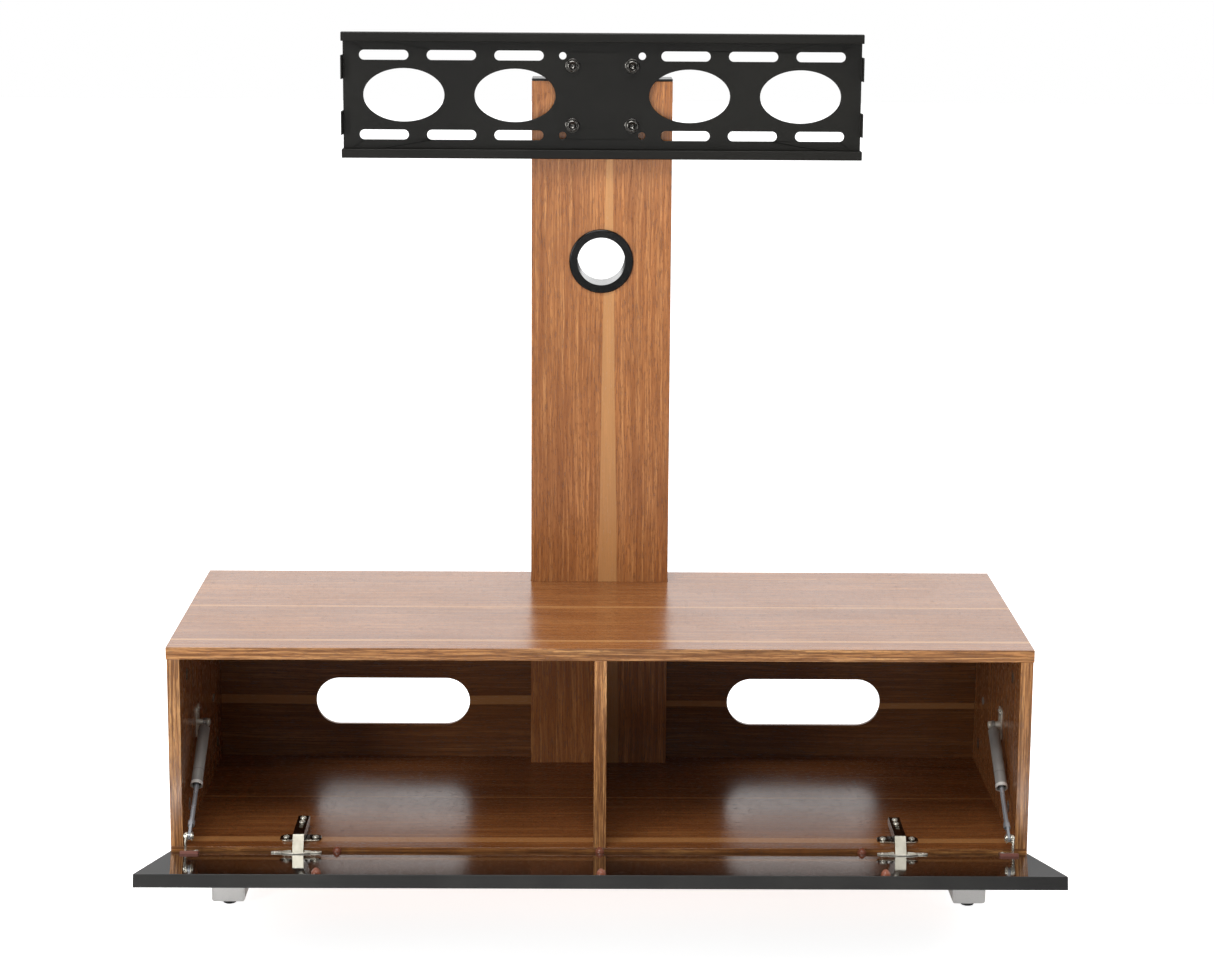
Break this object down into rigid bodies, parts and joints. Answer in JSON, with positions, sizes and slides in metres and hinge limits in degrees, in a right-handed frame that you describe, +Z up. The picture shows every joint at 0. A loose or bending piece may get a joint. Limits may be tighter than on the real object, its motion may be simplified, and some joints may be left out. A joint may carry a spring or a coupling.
{
  "type": "tv stand with doors",
  "caption": "Low walnut media cabinet on metal runners with a full-width drop-down gloss flap, gas struts, and a rear post carrying a slotted screen bracket.",
  "frame": {"origin": "on the floor, at the centre of the whole stand's footprint with the flap open", "axes": "+Z up, +X to the viewer's right along the cabinet, +Y to the rear; the flap opens towards -Y"},
  "size_m": [1.03, 0.6268, 1.043],
  "materials": {
    "walnut_laminate": "semi-gloss walnut laminate",
    "beech": "bare beech",
    "black_gloss": "high gloss faces, satin edges",
    "black_satin_steel": "satin powder coat",
    "black_plastic": "gloss",
    "black_glide": "matte",
    "silver_metal": "fine satin",
    "strut_grey": "satin",
    "nickel": "nickel plated",
    "zinc_steel": "zinc plated",
    "brown_rubber": "matt",
    "grey_plastic": "matt",
    "brass_insert": "machined"
  },
  "bodies": {
    "cabinet": {"back_panel_left": "walnut_laminate", "back_panel_right": "walnut_laminate", "bottom_panel": "walnut_laminate", "bracket_bolts": "zinc_steel", "bracket_washers": "zinc_steel", "bracket_weld_nuts": "zinc_steel", "cable_grommet": "black_plastic", "cam_bolts": "zinc_steel", "cam_locks": "zinc_steel", "centre_divider": "walnut_laminate", "glides": "black_glide", "grommet_rear_ring": "black_plastic", "head_plate": "black_satin_steel", "head_plate_screws": "zinc_steel", "hinge_arm_left": "nickel", "hinge_arm_right": "nickel", "hinge_arm_screws": "zinc_steel", "hinge_plate_left": "nickel", "hinge_plate_right": "nickel", "hinge_plate_screws": "zinc_steel", "hole_caps": "grey_plastic", "leg_end_caps": "silver_metal", "leg_left": "silver_metal", "leg_right": "silver_metal", "leg_screws": "zinc_steel", "post_cap": "black_plastic", "post_front_board": "walnut_laminate", "post_insert_nuts": "brass_insert", "post_rear_board": "walnut_laminate", "post_screws": "zinc_steel", "post_stile_left": "walnut_laminate", "post_stile_right": "walnut_laminate", "side_panel_left": "walnut_laminate", "side_panel_right": "walnut_laminate", "strut_anchor_left": "nickel", "strut_anchor_right": "nickel", "strut_anchor_screws": "zinc_steel", "top_panel": "walnut_laminate", "tv_bracket": "black_satin_steel", "wood_dowels": "beech"},
    "flap": {"door_panel": "black_gloss", "door_bumpers": "brown_rubber", "hinge_cup_left": "nickel", "hinge_cup_right": "nickel", "hinge_cup_screws": "zinc_steel", "hinge_pins": "zinc_steel", "strut_foot_left": "nickel", "strut_foot_right": "nickel", "strut_foot_pads": "brown_rubber", "strut_foot_screws": "zinc_steel"},
    "strut_tube_left": {"strut_tube_left": "strut_grey"},
    "strut_tube_right": {"strut_tube_right": "strut_grey"},
    "strut_rod_left": {"strut_rod_left": "nickel"},
    "strut_rod_right": {"strut_rod_right": "nickel"}
  },
  "joints": [
    {"name": "flap_hinge", "type": "hinge", "parent": "cabinet", "child": "flap", "pos_m": [0, -0.06473, 0.0757], "axis": [-1, 0, 0], "range_deg": [0, 75]},
    {"name": "strut_left_swing", "type": "hinge", "parent": "cabinet", "child": "strut_tube_left", "pos_m": [-0.488, 0.06448, 0.202], "axis": [1, 0, 0], "range_deg": [0, 10.5]},
    {"name": "strut_left_rod_turn", "type": "hinge", "parent": "flap", "child": "strut_rod_left", "pos_m": [-0.488, -0.07478, 0.105], "axis": [1, 0, 0], "range_deg": [0, 85.5]},
    {"name": "strut_right_swing", "type": "hinge", "parent": "cabinet", "child": "strut_tube_right", "pos_m": [0.488, 0.06448, 0.202], "axis": [1, 0, 0], "range_deg": [0, 10.5]},
    {"name": "strut_right_rod_turn", "type": "hinge", "parent": "flap", "child": "strut_rod_right", "pos_m": [0.488, -0.07478, 0.105], "axis": [1, 0, 0], "range_deg": [0, 85.5]}
  ],
  "couplings": [
    {"joint": "strut_left_swing", "follows": "flap_hinge", "ratio": 0.1388},
    {"joint": "strut_left_rod_turn", "follows": "flap_hinge", "ratio": 1.1388},
    {"joint": "strut_right_swing", "follows": "flap_hinge", "ratio": 0.1388},
    {"joint": "strut_right_rod_turn", "follows": "flap_hinge", "ratio": 1.1388}
  ]
}
